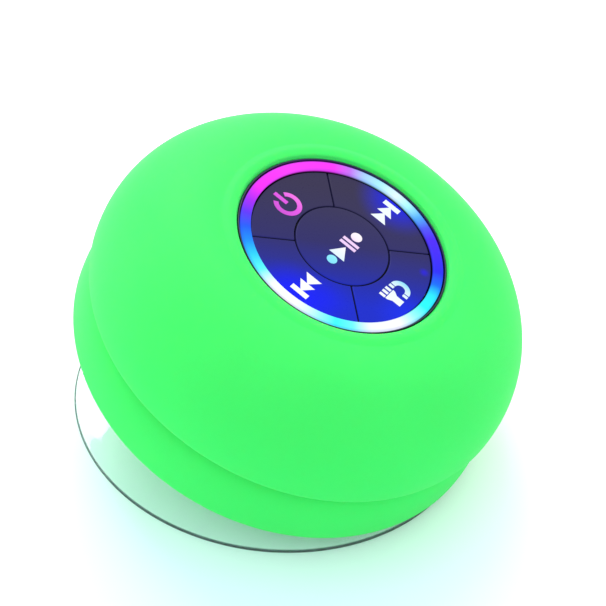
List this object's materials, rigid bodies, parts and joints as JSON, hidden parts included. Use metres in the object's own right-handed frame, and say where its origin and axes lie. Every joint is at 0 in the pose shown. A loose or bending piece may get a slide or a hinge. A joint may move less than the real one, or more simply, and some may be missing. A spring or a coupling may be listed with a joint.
{
  "type": "suction cup shower speaker",
  "caption": "Round waterproof speaker in a green silicone cover, leaning on its clear suction cup, with a lit ring round a dark five-key panel.",
  "frame": {"origin": "centre of the suction cup's rim, on the surface that the cup is pressed against", "axes": "+Z away from that surface, +X towards the next key, +Y towards the power key; the housing leans towards -Y at rest"},
  "size_m": [0.0857, 0.0877, 0.0553],
  "materials": {
    "silicone_green": "matte moulded silicone, bright green",
    "clear_pvc": "clear soft PVC with a slight grey-green tint",
    "black_abs": "black moulded ABS",
    "panel_gloss": "glossy dark plastic",
    "light_diffuser": "milky light guide lit in changing colours",
    "key_gloss": "dark smoked glossy key face with lit icon",
    "keypad_rubber": "grey keypad rubber",
    "board_green": "green circuit board lacquer",
    "chip_black": "black moulded chip package",
    "steel": "plated steel",
    "led_white": "white LED package",
    "cell_foil": "aluminium laminate pouch",
    "foam": "black foam rubber",
    "cone_paper": "black coated cone",
    "surround_rubber": "black rubber",
    "ferrite": "sintered ferrite",
    "copper": "copper winding",
    "spider_cloth": "resin-treated corrugated cloth",
    "mesh_cloth": "black water-repellent cloth",
    "wire_red": "red insulation",
    "wire_black": "black insulation"
  },
  "bodies": {
    "cup": {"suction_cup": "clear_pvc"},
    "swivel": {"ball_stud": "black_abs"},
    "housing": {"amplifier_chip": "chip_black", "battery": "cell_foil", "battery_lead_black": "wire_black", "battery_lead_red": "wire_red", "battery_pad": "foam", "bluetooth_module": "steel", "charge_board": "board_green", "charge_lead": "wire_black", "driver_frame": "black_abs", "driver_gasket": "foam", "driver_magnet": "ferrite", "driver_yoke": "steel", "front_shell": "black_abs", "housing_screw_1": "steel", "housing_screw_2": "steel", "housing_screw_3": "steel", "housing_seal": "surround_rubber", "keypad_web": "keypad_rubber", "led_1": "led_white", "led_2": "led_white", "led_3": "led_white", "led_4": "led_white", "led_5": "led_white", "led_6": "led_white", "led_7": "led_white", "led_8": "led_white", "light_ring": "light_diffuser", "main_board": "board_green", "microphone": "steel", "panel_ring": "panel_gloss", "rear_shell": "black_abs", "silicone_cover": "silicone_green", "socket_cap": "black_abs", "speaker_lead_black": "wire_black", "speaker_lead_red": "wire_red", "speaker_mesh": "mesh_cloth", "switch_next": "steel", "switch_phone_light": "steel", "switch_play_pause": "steel", "switch_power": "steel", "switch_previous": "steel", "top_plate": "steel", "usb_socket": "steel"},
    "key_play_pause": {"key_play_pause": "key_gloss"},
    "key_power": {"key_power": "key_gloss"},
    "key_next": {"key_next": "key_gloss"},
    "key_previous": {"key_previous": "key_gloss"},
    "key_phone_light": {"key_phone_light": "key_gloss"},
    "cone": {"driver_cone": "cone_paper", "dust_cap": "cone_paper", "voice_coil": "copper", "cone_surround": "surround_rubber", "spider": "spider_cloth"},
    "charging_flap": {"port_cover": "silicone_green"}
  },
  "joints": [
    {"name": "cup_swivel", "type": "hinge", "parent": "cup", "child": "swivel", "pos_m": [0, 0, 0.012], "axis": [0, 0, 1], "continuous": true},
    {"name": "housing_tilt", "type": "hinge", "parent": "swivel", "child": "housing", "pos_m": [0, 0, 0.012], "axis": [-1, 0, 0], "range_deg": [0, 34]},
    {"name": "play_pause_press", "type": "slide", "parent": "housing", "child": "key_play_pause", "axis": [0, 0.2924, -0.9563], "range_m": [0, 0.0004], "stiffness_N_per_m": 2000},
    {"name": "power_press", "type": "slide", "parent": "housing", "child": "key_power", "axis": [0, 0.2924, -0.9563], "range_m": [0, 0.0004], "stiffness_N_per_m": 2000},
    {"name": "next_press", "type": "slide", "parent": "housing", "child": "key_next", "axis": [0, 0.2924, -0.9563], "range_m": [0, 0.0004], "stiffness_N_per_m": 2000},
    {"name": "previous_press", "type": "slide", "parent": "housing", "child": "key_previous", "axis": [0, 0.2924, -0.9563], "range_m": [0, 0.0004], "stiffness_N_per_m": 2000},
    {"name": "phone_light_press", "type": "slide", "parent": "housing", "child": "key_phone_light", "axis": [0, 0.2924, -0.9563], "range_m": [0, 0.0004], "stiffness_N_per_m": 2000},
    {"name": "cone_stroke", "type": "slide", "parent": "housing", "child": "cone", "axis": [0, -0.2924, 0.9563], "range_m": [-0.0008, 0.0008], "stiffness_N_per_m": 1200, "deforming": ["cone_surround", "spider"]},
    {"name": "flap_hinge", "type": "hinge", "parent": "housing", "child": "charging_flap", "pos_m": [0.04305, -0.0013, 0.01626], "axis": [0, 0.9563, 0.2924], "range_deg": [0, 100]}
  ]
}
